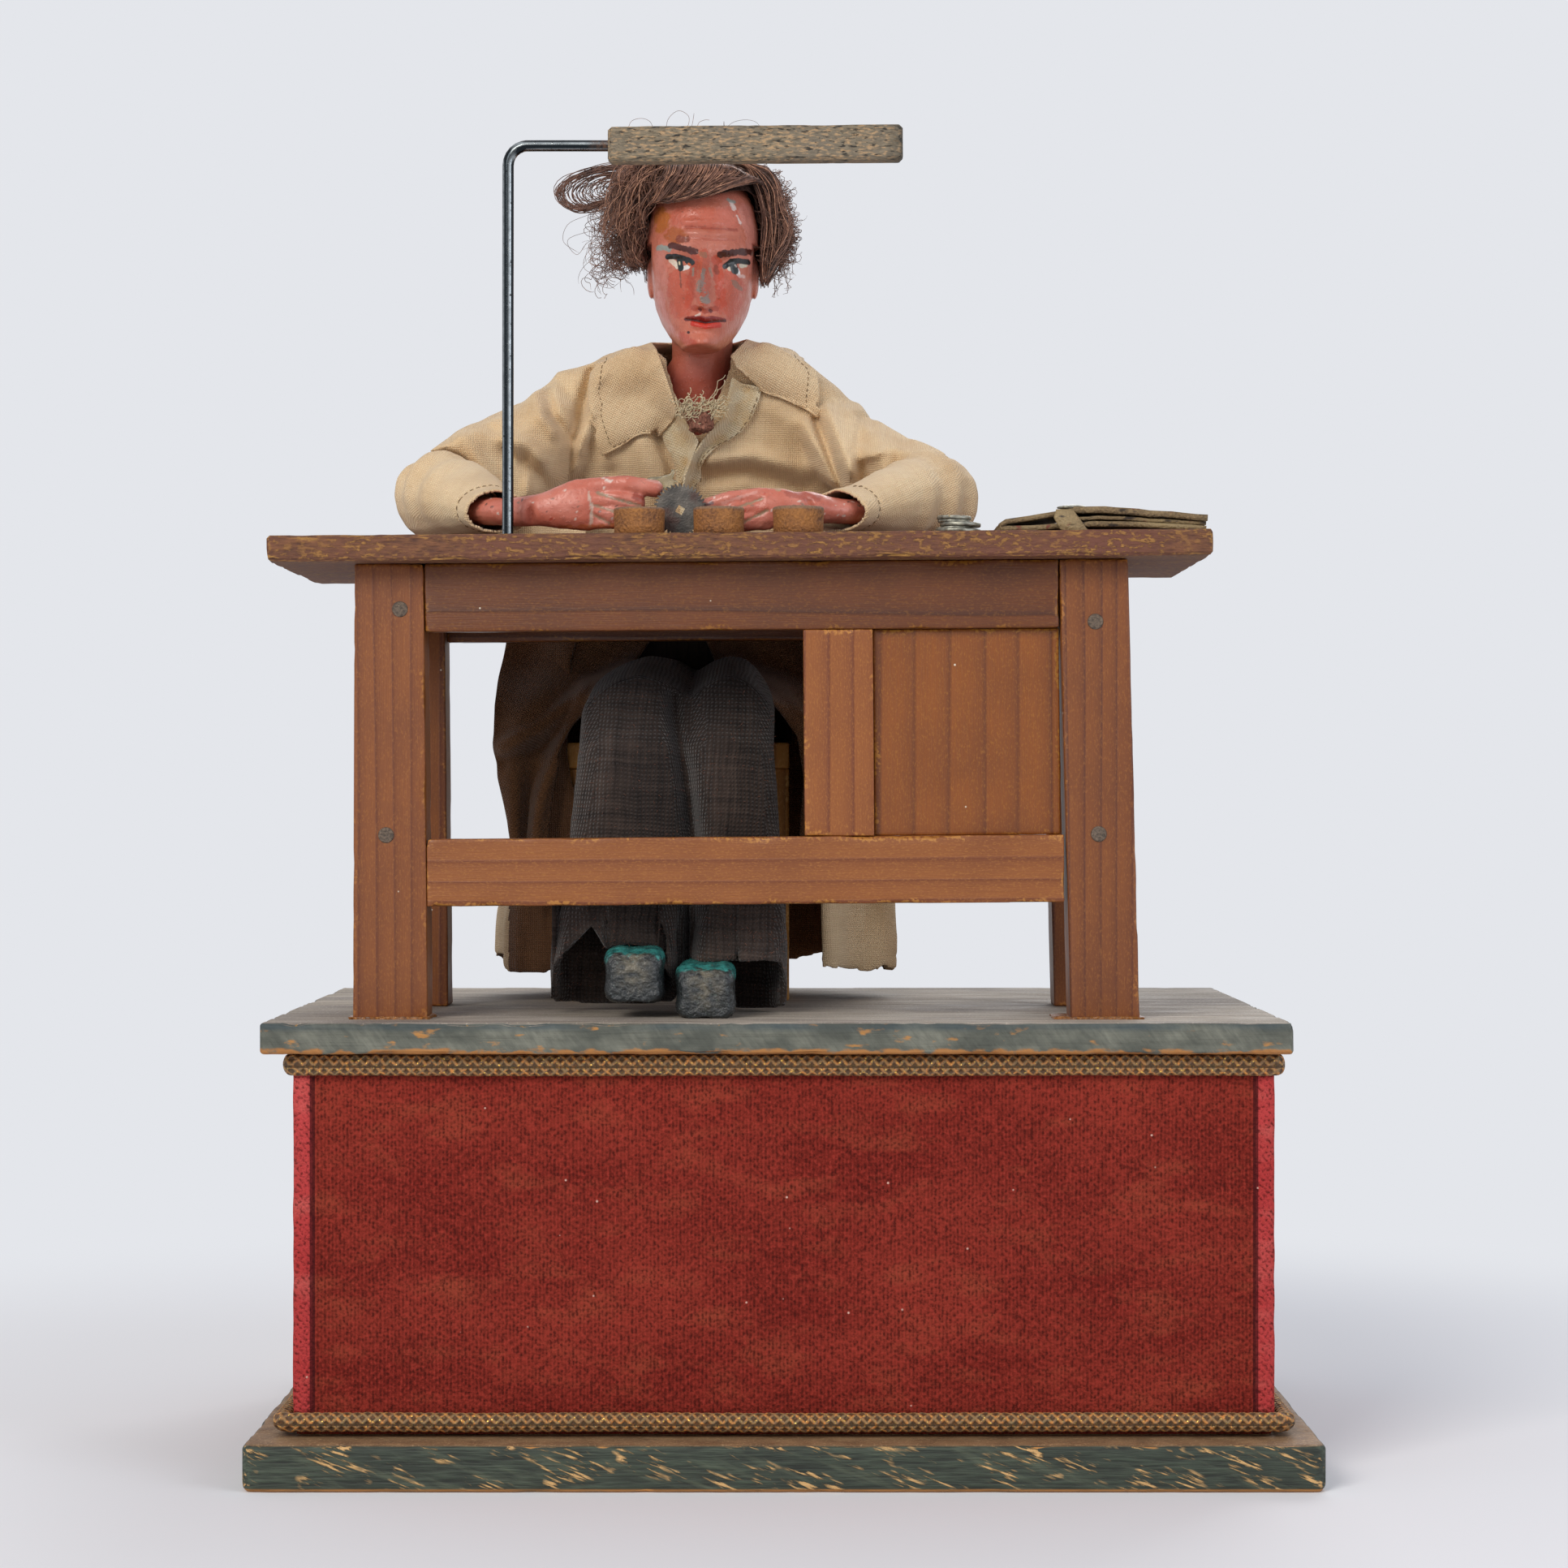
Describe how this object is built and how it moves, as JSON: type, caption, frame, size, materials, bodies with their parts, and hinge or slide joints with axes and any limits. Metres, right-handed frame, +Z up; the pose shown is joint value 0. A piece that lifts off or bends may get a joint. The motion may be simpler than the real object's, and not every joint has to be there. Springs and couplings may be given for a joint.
{
  "type": "window display automaton",
  "caption": "Seated artisan figure with moving head and forearms at a wooden bench, on a velvet-covered box that hides a clockwork drive.",
  "frame": {"origin": "centre of the plinth's underside", "axes": "+Z up, -Y the front that faces the viewer, +X to the viewer's right"},
  "size_m": [0.376, 0.255, 0.4837],
  "materials": {
    "plinthPaint": "dark green paint, scratched",
    "boxWood": "bare pine",
    "brass": "plain",
    "velvet": "red cotton velvet, worn",
    "braid": "brown and gold twisted cord",
    "platformPaint": "flat grey paint",
    "benchWood": "varnished softwood",
    "potWood": "turned and varnished",
    "steel": "darkened steel",
    "leather": "brown, worn",
    "bareWood": "weathered bare wood",
    "stoolWood": "bare pine",
    "wool": "coarse dark wool",
    "shoePaint": "carved and painted",
    "linen": "tan linen",
    "skinPaint": "carved and painted, glossy",
    "horn": "pale and translucent",
    "hair": "brown mohair"
  },
  "bodies": {
    "display_base": {"plinth_board": "plinthPaint", "box_front_panel": "boxWood", "box_left_panel": "boxWood", "box_right_panel": "boxWood", "box_back_panel": "boxWood", "door_hinge": "brass", "velvet_cover": "velvet", "lower_braid": "braid", "upper_braid": "braid", "platform_board": "platformPaint", "bench_top": "benchWood", "bench_leg_front_left": "benchWood", "bench_leg_front_right": "benchWood", "bench_leg_rear_left": "benchWood", "bench_leg_rear_right": "benchWood", "apron_front": "benchWood", "apron_rear": "benchWood", "apron_left": "benchWood", "apron_right": "benchWood", "lower_rail": "benchWood", "stile": "benchWood", "cupboard_panel": "benchWood", "pot_left": "potWood", "pot_middle": "potWood", "pot_right": "potWood", "toothed_wheel": "steel", "metal_disc": "steel", "disc_stack": "steel", "tool_wallet": "leather", "lamp_wire": "steel", "lamp_bar": "bareWood", "stool_seat": "stoolWood", "stool_side_left": "stoolWood", "stool_side_right": "stoolWood", "torso": "boxWood", "trousers": "wool", "shoe_left": "shoePaint", "shoe_right": "shoePaint", "coat_body": "linen", "coat_skirt": "linen", "motor_front_plate": "brass", "motor_back_plate": "brass"},
    "head": {"head": "skinPaint", "wig": "hair"},
    "head_rod": {"head_rod": "steel"},
    "head_lever": {"head_lever": "brass"},
    "forearm_left": {"forearm_left": "skinPaint", "forearm_sleeve_left": "linen", "toothed_scrap": "horn"},
    "forearm_right": {"forearm_right": "skinPaint", "forearm_sleeve_right": "linen"},
    "arm_rod": {"arm_rod": "steel"},
    "arm_lever": {"arm_lever": "brass"},
    "rear_door": {"rear_door": "boxWood"},
    "door_button": {"door_button": "brass"},
    "spring_barrel": {"spring_barrel": "brass"},
    "cam_shaft": {"cam_shaft": "brass"},
    "governor_fly": {"governor_fly": "brass"},
    "winding_key": {"winding_key": "steel"},
    "stop_lever": {"stop_lever": "steel"}
  },
  "joints": [
    {"name": "head_nod", "type": "hinge", "parent": "display_base", "child": "head", "pos_m": [-0.033, 0.03, 0.368], "axis": [1, 0, 0], "range_deg": [0, 7]},
    {"name": "head_rod_lift", "type": "slide", "parent": "display_base", "child": "head_rod", "axis": [0, 0, 1], "range_m": [0, 0.003]},
    {"name": "head_lever_lift", "type": "hinge", "parent": "display_base", "child": "head_lever", "pos_m": [0.014, 0.054, 0.0765], "axis": [0, 1, 0], "range_deg": [0, 3.6]},
    {"name": "forearm_left_lift", "type": "hinge", "parent": "display_base", "child": "forearm_left", "pos_m": [-0.128, -0.024, 0.353], "axis": [-0.8251, -0.565, 0], "range_deg": [0, 8]},
    {"name": "forearm_right_lift", "type": "hinge", "parent": "display_base", "child": "forearm_right", "pos_m": [0.055, -0.024, 0.353], "axis": [-0.7631, 0.6462, 0], "range_deg": [0, 8]},
    {"name": "arm_rod_lift", "type": "slide", "parent": "display_base", "child": "arm_rod", "axis": [0, 0, 1], "range_m": [0, 0.004]},
    {"name": "arm_lever_lift", "type": "hinge", "parent": "display_base", "child": "arm_lever", "pos_m": [0.014, 0.042, 0.0765], "axis": [0, 1, 0], "range_deg": [0, 4.9]},
    {"name": "rear_door_swing", "type": "hinge", "parent": "display_base", "child": "rear_door", "pos_m": [0.0256, 0.109, 0.083], "axis": [0, 0, -1], "range_deg": [0, 105]},
    {"name": "door_button_turn", "type": "hinge", "parent": "display_base", "child": "door_button", "pos_m": [-0.134, 0.107, 0.082], "axis": [0, 1, 0], "range_deg": [0, 90]},
    {"name": "barrel_turn", "type": "hinge", "parent": "display_base", "child": "spring_barrel", "pos_m": [-0.0715, 0.043, 0.058], "axis": [0, 1, 0], "continuous": true},
    {"name": "cam_turn", "type": "hinge", "parent": "display_base", "child": "cam_shaft", "pos_m": [-0.034, 0.045, 0.058], "axis": [0, 1, 0], "continuous": true},
    {"name": "fly_turn", "type": "hinge", "parent": "display_base", "child": "governor_fly", "pos_m": [-0.01, 0.045, 0.058], "axis": [0, 1, 0], "continuous": true},
    {"name": "key_turn", "type": "hinge", "parent": "display_base", "child": "winding_key", "pos_m": [-0.0715, 0.07, 0.058], "axis": [0, 1, 0], "continuous": true},
    {"name": "stop_lever_swing", "type": "hinge", "parent": "display_base", "child": "stop_lever", "pos_m": [0.004, 0.0678, 0.08], "axis": [0, -1, 0], "range_deg": [0, 12]}
  ],
  "couplings": [
    {"joint": "head_rod_lift", "follows": "head_nod", "m_per_rad": 0.024},
    {"joint": "head_lever_lift", "follows": "head_nod", "ratio": 0.5106},
    {"joint": "forearm_right_lift", "follows": "forearm_left_lift", "ratio": 1},
    {"joint": "arm_rod_lift", "follows": "forearm_left_lift", "m_per_rad": 0.0286},
    {"joint": "arm_lever_lift", "follows": "forearm_left_lift", "ratio": 0.6085},
    {"joint": "cam_turn", "follows": "barrel_turn", "ratio": -4},
    {"joint": "fly_turn", "follows": "barrel_turn", "ratio": 16}
  ]
}
